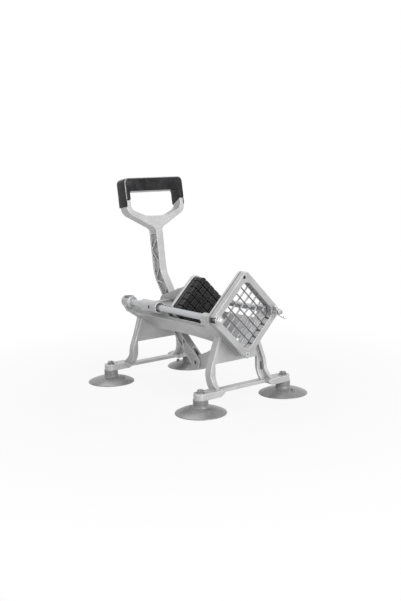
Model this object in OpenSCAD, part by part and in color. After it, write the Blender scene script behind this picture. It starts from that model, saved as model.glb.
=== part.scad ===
// Bench french fry cutter: a lever and link drive a studded pusher along two guide rods,
// through a square blade head that stands on its corner, on four suction feet.
// +X is to the right seen from the blade end, -Y is the blade end, +Z is up.
// The origin is on the bench, in the middle of the four feet.

/* [Blade head] */
// Outer side of the square blade frame
head_side = 100; // [96:0.5:108]
// Radius of the left and right corners of the blade frame
head_corner_r = 10; // [6:0.5:14]
// Radius of the top and bottom corners of the blade frame
head_tip_r = 5.5; // [3:0.5:10]
// Thickness of the blade frame
head_t = 11.2; // [10.5:0.1:14]
// Side of the square mouth
mouth_side = 80.6; // [79:0.2:84]
// Corner radius of the mouth
mouth_corner_r = 12; // [11:0.5:14]
// Distance from one blade to the next
cell_pitch = 12.7; // [12.4:0.1:13]
// Thickness of a blade
blade_t = 0.9; // [0.6:0.1:1.2]
// Depth of a blade along the stroke
blade_depth = 4.1; // [3:0.1:4.4]
// How far a blade end reaches into its slot
blade_seat = 3; // [2:0.5:5]

/* [Guide rods] */
// Height of the rod axes, which is also the middle of the blade head
axis_z = 141.8; // [136:0.5:150]
// Distance between the two rods
rod_spacing = 114; // [113:0.5:117]
// Diameter of a rod
rod_d = 10.6; // [9:0.1:11.2]
// Diameter of the threaded front end of a rod
stud_d = 8; // [6:0.5:8.5]

/* [Stand] */
// Distance between left and right feet
foot_x = 172; // [160:1:190]
// Distance between front and rear feet
foot_y = 256; // [250:1:270]
// Distance from the middle to the front face of the blade frame
face_y = 139.2; // [138.6:0.2:142]
// Thickness of the front flange
flange_t = 5.5; // [4:0.5:6.5]
// Thickness of the cast webs
web_t = 5; // [4:0.5:6]
// Thickness of the outer flange of a leg
leg_t = 5.6; // [4.5:0.1:7]
// Width of the foot bar along the stroke
bar_w = 14; // [12:0.5:16]
// Thickness of the foot bar
bar_t = 5; // [4:0.5:6]
// Radius of a foot pad
pad_r = 11; // [10:0.5:13]
// Thickness of a foot pad
pad_t = 10; // [8:0.5:11]
// Thickness of the chute sides
chute_t = 6.5; // [5:0.5:8]

/* [Carriage] */
// Outer diameter of a sleeve
sleeve_d = 19.5; // [18.5:0.5:20]
// Length of a sleeve
sleeve_l = 46.5; // [36:0.5:50]
// Distance from the middle to the front end of a sleeve
sleeve_y = 15; // [13:0.5:18]
// Distance from the middle to the screw in the side of a sleeve
grub_y = 34.5; // [28:0.5:42]
// Side of the pusher plate
plate_side = 79; // [77:0.5:79.4]
// Thickness of the pusher plate
plate_t = 5; // [4:0.5:6]
// Side of the pusher block
block_side = 76.2; // [75:0.2:76.4]
// Width of one stud
stud_w = 10.4; // [9:0.1:10.8]
// Length of one stud
stud_l = 12; // [8:0.5:12.5]
// Thickness of the base behind the studs
base_t = 6; // [4:0.5:6.5]

/* [Lever] */
// Thickness of the lever
lever_t = 13; // [11:0.5:14]
// Depth of the lever in side view
lever_w = 22; // [19:0.5:23]
// Thickness of the link between the lever and the stand
link_t = 6; // [5:0.2:7]
// Distance along the lever from one rib crossing to the next
rib_pitch = 23.3; // [20:0.1:28]
// Thickness of the web between the lever's ribs
lever_web = 6; // [4:0.5:8]
// Diameter of the lever pivot pin
pivot_d = 9; // [7:0.5:10]
// Diameter of the pins at both ends of the link
link_pin_d = 7; // [6:0.5:7.5]
// Width of the handle over its grip
grip_width = 122; // [112:0.2:130]
// Height of the top of the grip above the bench
grip_top = 353.5; // [348:0.5:362]
// Depth of the grip cover along the stroke
grip_depth = 27.4; // [25:0.2:30]
// Thickness of the grip cover
grip_wall = 2; // [1.4:0.1:2.4]

/* [Feet] */
// Diameter of a suction cup
cup_d = 80.6; // [70:0.2:88]
// Diameter of the neck of a cup
neck_d = 24; // [20:0.5:26]
// Height of the top of the neck above the bench
neck_top = 21; // [19:0.5:24]
// Height at which the dome meets the neck
dome_h = 9.5; // [8:0.5:11]
// Diameter of the foot screw
foot_screw_d = 6; // [5:0.5:7]

/* [Clearances] */
// Radial gap of a running fit
run_gap = 0.06; // [0.03:0.01:0.09]
// Radial gap of a fixed fit
fit_gap = 0.02; // [0.01:0.01:0.05]
// Gap between pieces that pass each other
free_gap = 0.4; // [0.3:0.05:0.6]

/* [Hidden] */
$fn = 64;
SQ = sqrt(2);
half_rods = rod_spacing / 2;
head_back = -face_y + head_t;
flange_back = head_back + flange_t;
web_front_y = 107.6;
web_rear_y = 104;
neck_y = 104.5;
// Rest positions of the three lever pivots, in the plane of the stroke
pivot_a = [62, axis_z];
pivot_b = [-12, 45.6];
pivot_d_at = [-88, 79];
// Radius of the eye that leaves room for the pin of the opened pivot
open_eye_r = link_pin_d / 2 + 5.61 + free_gap;
link_hub_r = open_eye_r + 2.6;
block_front = -29;
base_front = block_front + stud_l;
plate_front = base_front + base_t;
plate_back = plate_front + plate_t;
sleeve_end = sleeve_y + sleeve_l;
boss_rear_y = 96.6;
boss_rear_l = 20;
boss_top = axis_z + 7.2;
clamp_head_d = 16;
pad_top = neck_top + pad_t;
bar_bottom = 24;
bar_top = bar_bottom + bar_t;
bar_out = 128.5;
hub_half = 6;
cheek_x = lever_t / 2 + 2.2;
cheek_t = 6;
pivot_head_d = pivot_d + 3;
handle_lean = 9.4;
handle_at = [0, 101.7, 262];
screw_z = axis_z - 61.8;

// Points of a quadratic curve from p to r, pulled towards q
function curve(p, q, r, n = 7) =
    [for (i = [0:n]) let (t = i / n) (1 - t) * (1 - t) * p + 2 * t * (1 - t) * q + t * t * r];

// A drawing in X and Z, made solid from y0 to y1
module along_y(y0, y1) {
    translate([0, y1, 0]) rotate([90, 0, 0]) linear_extrude(y1 - y0) children();
}

// A drawing in Y and Z, made solid from x0 to x1
module along_x(x0, x1) {
    translate([x0, 0, 0]) rotate([90, 0, 90]) linear_extrude(x1 - x0) children();
}

module rounded_square(w, h, r) {
    square([w - 2 * r, h], center = true);
    square([w, h - 2 * r], center = true);
    for (sx = [-1, 1], sy = [-1, 1]) translate([sx * (w / 2 - r), sy * (h / 2 - r)]) circle(r);
}

// A square on its corner, drawn round the axis of the blade head
module diamond(side, r) {
    translate([0, axis_z]) rotate(45) rounded_square(side, side, r);
}

// The outline of the blade head, with tighter corners at the top and bottom
module head_outline() {
    diamond(head_side, head_corner_r);
    intersection() {
        diamond(head_side, head_tip_r);
        translate([0, axis_z]) square([head_side * 0.6, head_side * 2], center = true);
    }
}

// Turns the blade head upright: local X runs up right, local Z runs up left
module in_head() {
    translate([0, 0, axis_z]) rotate([0, -45, 0]) children();
}

module both_sides() {
    children();
    mirror([1, 0, 0]) children();
}

module hex(af, h) {
    cylinder(d = af * 2 / sqrt(3), h = h, $fn = 6);
}

// A bar with round ends between two points of a drawing
module strut(p, q, w) {
    d = q - p;
    translate(p) circle(d = w);
    translate(q) circle(d = w);
    translate(p) rotate(atan2(d[1], d[0])) translate([0, -w / 2]) square([norm(d), w]);
}

// ---------------------------------------------------------------- stands

// Outline of a leg's outer flange seen from the front, leaning out and then upright
leg_top_z = 111;
leg_top_x = 38.5;
leg_x = 58.4;
function leg_front_edge(x_in) = concat([[leg_top_x - x_in, leg_top_z]],
    curve([leg_x - 3.4 - x_in, 67], [leg_x - x_in, 59], [leg_x - x_in, 50]), [[leg_x - x_in, bar_bottom]]);

module leg_front_view() {
    polygon(concat(leg_front_edge(0), [for (i = [len(leg_front_edge(0)) - 1:-1:0]) leg_front_edge(leg_t)[i]]));
}

// Side view of a leg, with s = -1 for the front and 1 for the rear: it kicks out to its foot
module leg_side_view(s, top_in, top_out, foot_in, foot_out) {
    outer = concat([[s * top_out, leg_top_z]],
        curve([s * top_out, 52], [s * top_out, 42], [s * foot_out, pad_top - 1]), [[s * foot_out, bar_bottom]]);
    inner = concat([[s * foot_in, bar_bottom]],
        curve([s * foot_in, pad_top - 2], [s * top_in, 38], [s * top_in, 54]), [[s * top_in, leg_top_z]]);
    polygon(concat(outer, inner));
}

// The inner strip of a leg, from the web down to the foot bar
module strip_side_view(s, y_in) {
    outer = concat([[s * (y_in + web_t), 80]],
        curve([s * (y_in + web_t), 50], [s * (y_in + web_t), 38], [s * (bar_out - 3), bar_bottom + 1]));
    inner = curve([s * (bar_out - 3 - web_t), bar_bottom + 1], [s * y_in, 38], [s * y_in, 52]);
    polygon(concat(outer, inner, [[s * y_in, 80]]));
}

// The strip's front view keeps it behind the leg's outer flange, with an open notch half way down
strip_w = 9.4;

module strip_front_view() {
    difference() {
        polygon(concat(leg_front_edge(0.6), [[0, bar_bottom], [0, leg_top_z]]));
        translate([leg_x - leg_t - 3.4, 43]) square([4, 13]);
    }
}

module leg_pair(s, top_in, top_out, foot_in, foot_out, strip_in) {
    y_low = min(s * top_in, s * (foot_out + 2)) - 1;
    y_high = max(s * top_in, s * (foot_out + 2)) + 1;
    both_sides() {
        intersection() {
            along_y(y_low, y_high) leg_front_view();
            along_x(0, leg_x + 1) leg_side_view(s, top_in, top_out, foot_in, foot_out);
        }
        intersection() {
            along_x(leg_x - leg_t - strip_w, leg_x) strip_side_view(s, strip_in);
            along_y(y_low - 30, y_high + 30) strip_front_view();
        }
    }
}

// Foot bar with a thick round-ended pad over each cup
module foot_bar(s) {
    y_mid = s * foot_y / 2;
    translate([-60, min(s * bar_out, s * (bar_out - bar_w)), bar_bottom]) cube([120, bar_w, bar_t]);
    both_sides() difference() {
        union() {
            translate([foot_x / 2, y_mid, neck_top]) cylinder(r = pad_r, h = pad_t);
            intersection() {
                translate([46, y_mid - pad_r, neck_top]) cube([foot_x / 2 - 46, 2 * pad_r, pad_t]);
                along_y(y_mid - pad_r, y_mid + pad_r)
                    polygon([[46, bar_bottom + 2], [54, neck_top], [foot_x, neck_top], [foot_x, pad_top],
                        [54, pad_top], [46, bar_top]]);
            }
        }
        translate([foot_x / 2, y_mid, neck_top - 1]) cylinder(d = foot_screw_d + 0.6, h = pad_t + 2);
        translate([foot_x / 2 - 11.5, y_mid, neck_top - 1]) cylinder(d = 4.4, h = pad_t + 2);
    }
}

// Two lugs behind the front web that carry the link's front pin
lug_x = hub_half + free_gap + 0.2;
lug_t = 5;

module link_lugs() {
    both_sides() difference() {
        along_x(lug_x, lug_x + lug_t) {
            translate(pivot_d_at) circle(r = 9);
            polygon([pivot_d_at + [-2, 9], pivot_d_at + [-2, -9], [-web_front_y - 1, 68], [-web_front_y - 1, 96]]);
        }
        translate([lug_x - 1, pivot_d_at[0], pivot_d_at[1]]) rotate([0, 90, 0])
            cylinder(d = link_pin_d + 2 * fit_gap, h = lug_t + 2);
    }
}

module front_web_outline() {
    polygon([[-47, 118], [-leg_top_x + leg_t / 2, leg_top_z], [-53.5, 66.3], [53.5, 66.3],
        [leg_top_x - leg_t / 2, leg_top_z], [47, 118]]);
}

module front_stand() {
    color("silver") difference() {
        union() {
            along_y(head_back, flange_back) head_outline();
            along_y(flange_back, -neck_y) intersection() {
                head_outline();
                translate([-80, 0]) square([160, axis_z - 2]);
            }
            along_y(-web_front_y - web_t, -web_front_y) front_web_outline();
            both_sides() along_y(flange_back, -neck_y) {
                translate([half_rods, axis_z]) circle(r = 7.6);
                translate([half_rods - 7.6, axis_z - 10]) square([15.2, 10]);
            }
            leg_pair(-1, 105.3, 118.7, 114.5, 136, web_front_y);
            foot_bar(-1);
            link_lugs();
        }
        along_y(head_back - 1, -neck_y + 1) diamond(mouth_side, mouth_corner_r);
        both_sides() translate([half_rods, 0, axis_z]) rotate([90, 0, 0]) {
            translate([0, 0, neck_y - 1]) cylinder(d = rod_d + 2 * fit_gap, h = -flange_back - neck_y + 1);
            translate([0, 0, neck_y]) cylinder(d = stud_d + 0.6, h = 60);
        }
        translate([0, head_back - 1, screw_z]) rotate([-90, 0, 0]) cylinder(d = 4, h = 12);
    }
}

module rear_web_outline() {
    polygon(concat([[-half_rods - 9, axis_z], [-67, 134]],
        curve([-62, 125.5], [-50, 118.5], [-leg_top_x - 2, leg_top_z], 5),
        [[-53.5, 69], [53.5, 69]],
        curve([leg_top_x + 2, leg_top_z], [50, 118.5], [62, 125.5], 5),
        [[67, 134], [half_rods + 9, axis_z], [half_rods - 4, axis_z], [half_rods - 10, 134],
        [-half_rods + 10, 134], [-half_rods + 4, axis_z]]));
}

module rear_stand() {
    color("silver") difference() {
        union() {
            along_y(web_rear_y, web_rear_y + web_t) rear_web_outline();
            both_sides() {
                along_y(boss_rear_y, boss_rear_y + boss_rear_l) translate([half_rods, axis_z]) circle(r = 10);
                translate([half_rods, boss_rear_y + boss_rear_l / 2, axis_z]) cylinder(r = 8.4, h = boss_top - axis_z);
            }
            leg_pair(1, 97, 109.6, 112, 131, web_rear_y);
            foot_bar(1);
        }
        both_sides() {
            translate([half_rods, boss_rear_y - 1, axis_z]) rotate([-90, 0, 0])
                cylinder(d = rod_d + 2 * fit_gap, h = boss_rear_l - 2);
            translate([half_rods, boss_rear_y + boss_rear_l / 2, axis_z]) cylinder(d = 5 + 2 * fit_gap, h = 20);
            translate([half_rods, boss_rear_y + boss_rear_l / 2, boss_top]) cylinder(d = clamp_head_d + 1, h = 5);
        }
    }
}

// One side of the chute, parallel to a lower side of the blade head. Its lower edge is slightly
// arched and its rear end is cut at a slant below the strip that runs on to the rear stand.
chute_rim = 24;
chute_low = 16;

module chute_side() {
    in_head() along_x(-head_side / 2, -head_side / 2 + chute_t) polygon(concat(
        [[-neck_y, chute_rim], [-neck_y, -chute_low - 1]],
        curve([-86, -chute_low - 1], [-48, -chute_low + 5.5], [0, -chute_low + 4], 8),
        curve([10, -chute_low + 3.8], [50, -chute_low + 3], [74, -chute_low], 5),
        curve([85, 4], [90, 13], [web_rear_y, 17], 6),
        [[web_rear_y, chute_rim]]));
}

module left_chute() {
    color("gainsboro") chute_side();
}

module right_chute() {
    color("gainsboro") mirror([1, 0, 0]) chute_side();
}

// ---------------------------------------------------------------- guide rods

module guide_rod(stud_end) {
    rod_back = boss_rear_y + boss_rear_l - 3;
    translate([0, rod_back, axis_z]) rotate([90, 0, 0]) {
        cylinder(d = rod_d, h = rod_back - flange_back);
        cylinder(d = stud_d, h = rod_back + stud_end);
    }
}

module left_guide_rod() {
    color("lightsteelblue") translate([-half_rods, 0, 0]) guide_rod(face_y + 5);
}

module right_guide_rod() {
    color("lightsteelblue") translate([half_rods, 0, 0]) guide_rod(face_y + 15);
}

// Flat-headed screws that hold the rods in the rear bosses
module rod_clamp_screws() {
    color([0.15, 0.15, 0.16]) both_sides()
        translate([half_rods, boss_rear_y + boss_rear_l / 2, axis_z + rod_d / 2]) difference() {
            union() {
                cylinder(d = 5, h = boss_top - axis_z - rod_d / 2 + 1);
                translate([0, 0, boss_top - axis_z - rod_d / 2]) cylinder(d = clamp_head_d, h = 2.4);
            }
            translate([0, 0, boss_top - axis_z - rod_d / 2 + 1.2]) hex(5, 3);
        }
}

// ---------------------------------------------------------------- blade head

module corner_slot() {
    translate([half_rods, 0, axis_z]) rotate([90, 0, 0]) cylinder(d = stud_d + 1, h = face_y + 1);
    translate([half_rods, -face_y - 1, axis_z - (stud_d + 1) / 2]) cube([30, head_t + 2, stud_d + 1]);
}

front_blade_y = -face_y + 1.8;
rear_blade_y = front_blade_y + blade_depth + 0.1;
blade_half = mouth_side / 2 + blade_seat;
pocket_w = 2.8;
pocket_deep = 1.4;

module blade_frame() {
    color("silver") difference() {
        along_y(-face_y, head_back) difference() {
            head_outline();
            diamond(mouth_side, mouth_corner_r);
        }
        both_sides() intersection() {
            corner_slot();
            translate([0, -face_y - 1, 0]) cube([200, head_t + 2, 300]);
        }
        in_head() for (k = [-2:2]) {
            translate([k * cell_pitch - blade_t / 2 - fit_gap, front_blade_y - fit_gap, -blade_half - fit_gap])
                cube([blade_t + 2 * fit_gap, head_t, 2 * (blade_half + fit_gap)]);
            translate([-blade_half - fit_gap, rear_blade_y - fit_gap, k * cell_pitch - blade_t / 2 - fit_gap])
                cube([2 * (blade_half + fit_gap), head_t, blade_t + 2 * fit_gap]);
        }
        in_head() for (k = [-2:2]) {
            translate([k * cell_pitch - pocket_w / 2, front_blade_y + 0.4, -mouth_side / 2 - pocket_deep])
                cube([pocket_w, head_t, mouth_side + 2 * pocket_deep]);
            translate([-mouth_side / 2 - pocket_deep, rear_blade_y + 0.4, k * cell_pitch - pocket_w / 2])
                cube([mouth_side + 2 * pocket_deep, head_t, pocket_w]);
        }
        translate([-4.4, -face_y - 1, axis_z + 60.2]) rotate([-90, 0, 0]) cylinder(d = 5.6, h = head_t + 2);
        translate([0, -face_y - 1, screw_z]) rotate([-90, 0, 0]) cylinder(d = 4.4, h = head_t + 2);
        translate([0, -face_y - 1, screw_z]) rotate([-90, 0, 0]) cylinder(d = 9, h = 2.2);
    }
}

// One blade, ground to an edge on the side that meets the potato
module blade() {
    bevel = 1.6;
    translate([0, 0, -blade_half]) linear_extrude(2 * blade_half)
        polygon([[-blade_t / 2, 0], [blade_t / 2, 0], [blade_t / 2, blade_depth - bevel],
            [0, blade_depth], [-blade_t / 2, blade_depth - bevel]]);
}

module front_blade(k) {
    color("lightgray") in_head() translate([k * cell_pitch, front_blade_y, 0]) blade();
}

module rear_blade(k) {
    color("lightgray") in_head() translate([0, rear_blade_y, k * cell_pitch]) rotate([0, 90, 0]) blade();
}

washer_t = 1.4;

module cap_nut() {
    color("gainsboro") translate([-half_rods, -face_y - washer_t, axis_z]) rotate([90, 0, 0]) difference() {
        union() {
            hex(12, 3);
            translate([0, 0, 1.2]) intersection() {
                sphere(r = 5.6);
                cylinder(r = 6, h = 6);
            }
        }
        translate([0, 0, -0.1]) cylinder(d = stud_d + 2 * fit_gap, h = 4);
    }
}

// Wing nut: a tapered hub and two flared wings, turned so that one wing points down right
module wing_nut() {
    hub_l = 9;
    color("gainsboro") translate([half_rods, -face_y - washer_t - 0.05, axis_z]) rotate([90, 0, 0]) difference() {
        union() {
            rotate_extrude() polygon([[0, 0], [6.5, 0], [6.5, 2], [5.2, hub_l], [0, hub_l]]);
            rotate([0, 0, -45]) both_sides() translate([0, 1.2, 0]) rotate([90, 0, 0]) linear_extrude(2.4)
                polygon(concat([[3, 1.5], [7, 1.5]], curve([10, 3], [15, 6], [16.5, 12]),
                    curve([15.5, 14.5], [12, 15], [10.5, 11]), [[5, 7.5], [3, 7.5]]));
        }
        translate([0, 0, -1]) cylinder(d = stud_d + 2 * run_gap, h = hub_l + 2);
    }
}

module nut_washers() {
    color("gainsboro") both_sides() translate([half_rods, -face_y, axis_z]) rotate([90, 0, 0]) difference() {
        cylinder(d = 15, h = washer_t);
        translate([0, 0, -1]) cylinder(d = stud_d + 0.4, h = washer_t + 2);
    }
}

module head_screw() {
    color("gainsboro") translate([0, -face_y, screw_z]) rotate([-90, 0, 0]) difference() {
        union() {
            translate([0, 0, -0.8]) cylinder(d = 8.4, h = 2);
            cylinder(d = 4 - 2 * fit_gap, h = head_t + flange_t);
        }
        translate([0, 0, -1.4]) hex(3.5, 2);
    }
}

// ---------------------------------------------------------------- carriage

bush_d = sleeve_d - 5;
recess_l = 3.5;
grub_d = 6.4;

// Bore for the bushes, wider at both ends of the sleeve
module carriage_bore() {
    translate([half_rods, sleeve_y - 1, axis_z]) rotate([-90, 0, 0]) {
        cylinder(d = bush_d, h = sleeve_l + 2);
        cylinder(d = sleeve_d - 2.8, h = recess_l + 1);
        translate([0, 0, sleeve_l + 1 - recess_l]) cylinder(d = sleeve_d - 2.8, h = recess_l + 1);
    }
}

// The pair of cheeks that carry the lever's pivot, run out from the pusher plate
module cheek_side_view() {
    polygon([[plate_back - 1, axis_z - 30], [plate_back - 1, axis_z + 34], [plate_back + 5, axis_z + 34],
        pivot_a + [4, 11.3], pivot_a + [2, -11.8], [20, axis_z - 19]]);
    translate(pivot_a) circle(r = 12);
}

module carriage() {
    color("silver") difference() {
        union() {
            along_y(plate_front, plate_back) difference() {
                diamond(plate_side, mouth_corner_r);
                translate([-20, 0]) square([40, pivot_d_at[1] + link_hub_r + 1.8]);
            }
            both_sides() {
                translate([half_rods, sleeve_y, axis_z]) rotate([-90, 0, 0]) cylinder(d = sleeve_d, h = sleeve_l);
                along_x(cheek_x, cheek_x + cheek_t) cheek_side_view();
                translate([cheek_x, sleeve_y + 2, axis_z - 3.5]) cube([half_rods - cheek_x, sleeve_l - 4, 7]);
                translate([cheek_x + 1, sleeve_y + 20, axis_z - 11]) cube([half_rods - cheek_x - 4, 5, 19]);
                difference() {
                    translate([22, plate_back - 1, axis_z - 3.5]) cube([24, sleeve_y + 5 - plate_back, 7]);
                    translate([58, plate_back + 2, axis_z - 5]) cylinder(r = 15, h = 12);
                }
            }
        }
        both_sides() {
            carriage_bore();
            translate([half_rods + 3, grub_y, axis_z]) rotate([0, 90, 0]) cylinder(d = grub_d + 2 * fit_gap, h = 20);
        }
        translate([-40, pivot_a[0], axis_z]) rotate([0, 90, 0]) cylinder(d = pivot_d + 2 * fit_gap, h = 80);
        both_sides() translate([cheek_x + cheek_t, pivot_a[0], axis_z]) rotate([0, 90, 0])
            cylinder(d = pivot_head_d + 2 * free_gap, h = 2 + free_gap);
        for (p = pusher_screw_places()) translate([p[0], plate_front - 1, p[1]]) rotate([-90, 0, 0])
            cylinder(d = 4.4, h = plate_t + 2);
    }
}

function pusher_screw_places() = [for (sx = [-1, 1], sz = [-1, 1]) [sx * 26, axis_z + sz * 14]];

module sleeve_bushes() {
    bush_l = sleeve_l - 2 * recess_l;
    color("dimgray") both_sides() translate([half_rods, sleeve_y + recess_l, axis_z]) rotate([-90, 0, 0])
        difference() {
            cylinder(d = bush_d - 2 * fit_gap, h = bush_l);
            translate([0, 0, -1]) cylinder(d = rod_d + 2 * run_gap, h = bush_l + 2);
        }
}

module sleeve_grub_screws() {
    color("dimgray") both_sides() translate([half_rods + bush_d / 2, grub_y, axis_z]) rotate([0, 90, 0])
        difference() {
            cylinder(d = grub_d, h = 1.2);
            translate([0, 0, 0.5]) hex(3, 2);
        }
}

module pusher_block() {
    color([0.12, 0.12, 0.13]) difference() {
        union() {
            along_y(base_front, plate_front) diamond(block_side, mouth_corner_r);
            intersection() {
                along_y(block_front, base_front + 0.5) diamond(block_side, mouth_corner_r);
                in_head() for (i = [-2.5:2.5], j = [-2.5:2.5])
                    translate([i * cell_pitch - stud_w / 2, block_front, j * cell_pitch - stud_w / 2])
                        cube([stud_w, stud_l + 0.5, stud_w]);
            }
        }
        for (p = pusher_screw_places()) translate([p[0], plate_front + 0.1, p[1]]) rotate([90, 0, 0])
            cylinder(d = 4 + 2 * fit_gap, h = 8.1);
    }
}

module pusher_screws() {
    color("gainsboro") for (p = pusher_screw_places()) translate([p[0], plate_back, p[1]]) rotate([90, 0, 0])
        difference() {
            union() {
                translate([0, 0, -2.6]) cylinder(d = 7, h = 2.6);
                cylinder(d = 4, h = plate_t + 7.6);
            }
            translate([0, 0, -3]) hex(2.5, 2);
        }
}

module lever_pivot_pin() {
    reach = cheek_x + cheek_t;
    color("gainsboro") translate([-reach, pivot_a[0], axis_z]) rotate([0, 90, 0]) {
        cylinder(d = pivot_d, h = 2 * reach);
        translate([0, 0, -2]) cylinder(d = pivot_head_d, h = 2);
        translate([0, 0, 2 * reach]) cylinder(d = pivot_head_d, h = 2);
    }
}

// ---------------------------------------------------------------- lever

// Corners of the lever's middle line
lever_path = [[handle_at[1], handle_at[2]], [91.5, 187], [64, 149], [37, 87], pivot_b];

// Length along the lever's middle line up to corner i, and the point at length t
function path_length(i) = i == 0 ? 0 : path_length(i - 1) + norm(lever_path[i] - lever_path[i - 1]);
function path_leg(t, i = 1) = i == len(lever_path) - 1 || t <= path_length(i) ? i : path_leg(t, i + 1);
function path_dir(i) = (lever_path[i] - lever_path[i - 1]) / norm(lever_path[i] - lever_path[i - 1]);
function path_point(t, side) = let (i = path_leg(t), d = path_dir(i))
    lever_path[i - 1] + (t - path_length(i - 1)) * d + side * [-d[1], d[0]];

// The same line with its bends eased, as [y, z, half width], drawn in at the waist above the fork
bend_l = 13;
waist = 2.4;
function station(i, narrowed) = [lever_path[i][0], lever_path[i][1], lever_w / 2 - narrowed];
lever_stations = [station(0, 0), station(1, 0), station(2, 0), station(3, waist), station(4, 0.4)];
function toward(p, q, l) = p + l * (q - p) / norm(q - p);
lever_line = concat([lever_stations[0]],
    [for (i = [1:3]) each curve(toward(lever_stations[i], lever_stations[i - 1], bend_l), lever_stations[i],
        toward(lever_stations[i], lever_stations[i + 1], bend_l), 5)],
    [lever_stations[4]]);
function line_normal(i) = let (p = lever_line[max(i - 1, 0)], q = lever_line[min(i + 1, len(lever_line) - 1)],
    d = [q[0] - p[0], q[1] - p[1]]) [-d[1], d[0]] / norm(d);
function line_side(i, side, rim) =
    [lever_line[i][0], lever_line[i][1]] + side * (lever_line[i][2] - rim) * line_normal(i);

// The lever's side view, drawn in by the width of its rims, with a round end at the fork
module lever_band(rim) {
    last = len(lever_line) - 1;
    r = lever_line[last][2] - rim;
    start = atan2(line_normal(last)[1], line_normal(last)[0]);
    polygon(concat([for (i = [0:last - 1]) line_side(i, 1, rim)],
        [for (k = [0:18]) pivot_b + r * [cos(start - 10 * k), sin(start - 10 * k)]],
        [for (i = [last - 1:-1:0]) line_side(i, -1, rim)]));
}

// Pockets in both faces, with zigzag ribs left standing between them
module lever_pockets() {
    first_rib = 11.6;
    difference() {
        lever_band(2.8);
        for (k = [0:9]) strut(path_point(first_rib + k * rib_pitch, (k % 2 == 0 ? -1 : 1) * lever_w / 2),
            path_point(first_rib + (k + 1) * rib_pitch, (k % 2 == 0 ? 1 : -1) * lever_w / 2), 2.6);
        translate(pivot_a) circle(r = pivot_d / 2 + 4.5);
        translate(pivot_b) circle(r = link_pin_d / 2 + 5);
        translate([80, 262]) square([50, 20]);
    }
}

// Room in the lever's forked end for the link over its whole swing
link_eye_r = 10.4;
rest_swing = atan2(pivot_d_at[1] - pivot_b[1], pivot_d_at[0] - pivot_b[0]);

fork_reach = 30;

module fork_gap() {
    for (turn = [-10:8:70]) {
        dir = [cos(rest_swing - turn), sin(rest_swing - turn)];
        strut(pivot_b, pivot_b + fork_reach * dir, 2 * (link_eye_r + free_gap));
    }
}

// The cheeks of the fork, where the pockets stay shallow
fork_pocket = 1.4;

module fork_zone() {
    translate(pivot_b) circle(r = fork_reach + link_eye_r + 2);
}

module in_handle() {
    translate(handle_at) rotate([-handle_lean, 0, 0]) children();
}

module handle_along_y(half_depth) {
    translate([0, half_depth, 0]) rotate([90, 0, 0]) linear_extrude(2 * half_depth) children();
}

handle_half = grip_width / 2 - 0.7;
arm_t = 8.2;
neck_in = grip_wall - 0.6;
bar_local_top = (grip_top - handle_at[2]) / cos(handle_lean) - 1.7;
bar_local_low = bar_local_top - 21.5;
handle_depth = lever_w - 1.4;
grip_back = (grip_depth - handle_depth) / 2 + 0.9;
grip_front = grip_depth - handle_depth - grip_back;
grip_low = 43;

// Half of the yoke that spreads from the lever to the handle's legs
module yoke_outline() {
    h = lever_t / 2;
    outer = concat([[h - 1, -6]], curve([h - 1, -3], [h - 0.5, 2.5], [h + 6.5, 6.6]), [[51, 27.2]],
        curve([53, 28.3], [handle_half - 0.6, 33.5], [handle_half, grip_low]));
    inner = concat(curve([handle_half - arm_t, grip_low], [handle_half - arm_t - 0.6, 37.5], [42, 33.3]),
        [[26.5, 26.9]], curve([24.5, 26.2], [12, 24.8], [0, 24.8]));
    polygon(concat(outer, inner, [[0, -6]]));
}

module handle_ring_outline(extra) {
    half = handle_half + extra;
    top = bar_local_top + extra;
    r = 8 + extra;
    inner_half = handle_half - arm_t - extra;
    inner_top = bar_local_low - extra;
    difference() {
        union() {
            translate([-half, 0]) square([2 * half, top - r]);
            translate([-half + r, top - r - 1]) square([2 * (half - r), r + 1]);
            for (s = [-1, 1]) translate([s * (half - r), top - r]) circle(r);
        }
        translate([-inner_half, -1]) square([2 * inner_half, inner_top + 1 - 4]);
        translate([-inner_half + 4, inner_top - 5]) square([2 * inner_half - 8, 5]);
        for (s = [-1, 1]) translate([s * (inner_half - 4), inner_top - 4]) circle(4);
    }
}

module above_grip_low(shift) {
    translate([-80, -30, grip_low + shift]) cube([160, 60, 60]);
}

// The legs and the bar, thinner where the grip covers them
module handle_core() {
    intersection() {
        union() {
            handle_along_y(handle_depth / 2) handle_ring_outline(-neck_in);
            difference() {
                handle_along_y(handle_depth / 2) handle_ring_outline(0);
                grip_body();
                translate([-80, -30, bar_local_top - 4]) cube([160, 60, 10]);
            }
        }
        above_grip_low(-1);
    }
}

module lever() {
    color("silver") difference() {
        union() {
            difference() {
                along_x(-lever_t / 2, lever_t / 2) lever_band(0);
                both_sides() {
                    along_x(lever_web / 2, lever_t) difference() {
                        lever_pockets();
                        fork_zone();
                    }
                    along_x(lever_t / 2 - fork_pocket, lever_t) intersection() {
                        lever_pockets();
                        fork_zone();
                    }
                }
            }
            in_handle() handle_along_y(handle_depth / 2) both_sides() yoke_outline();
            in_handle() handle_core();
        }
        translate([-20, pivot_a[0], pivot_a[1]]) rotate([0, 90, 0]) cylinder(d = pivot_d + 2 * run_gap, h = 40);
        translate([-20, pivot_b[0], pivot_b[1]]) rotate([0, 90, 0]) cylinder(d = link_pin_d + 2 * fit_gap, h = 40);
        along_x(-link_t / 2 - free_gap, link_t / 2 + free_gap) fork_gap();
    }
}

// Side view of the grip: round along the top, cut off at a slant along the bottom
module grip_side_view() {
    top = bar_local_top + 0.7;
    front = -handle_depth / 2 - grip_front;
    back = handle_depth / 2 + grip_back;
    r = 6;
    polygon([[front, grip_low + 11.5], [back, grip_low], [back, top - r], [front, top - r]]);
    translate([front + r, top - r - 1]) square([back - front - 2 * r, r + 1]);
    for (y = [front + r, back - r]) translate([y, top - r]) circle(r);
}

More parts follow.
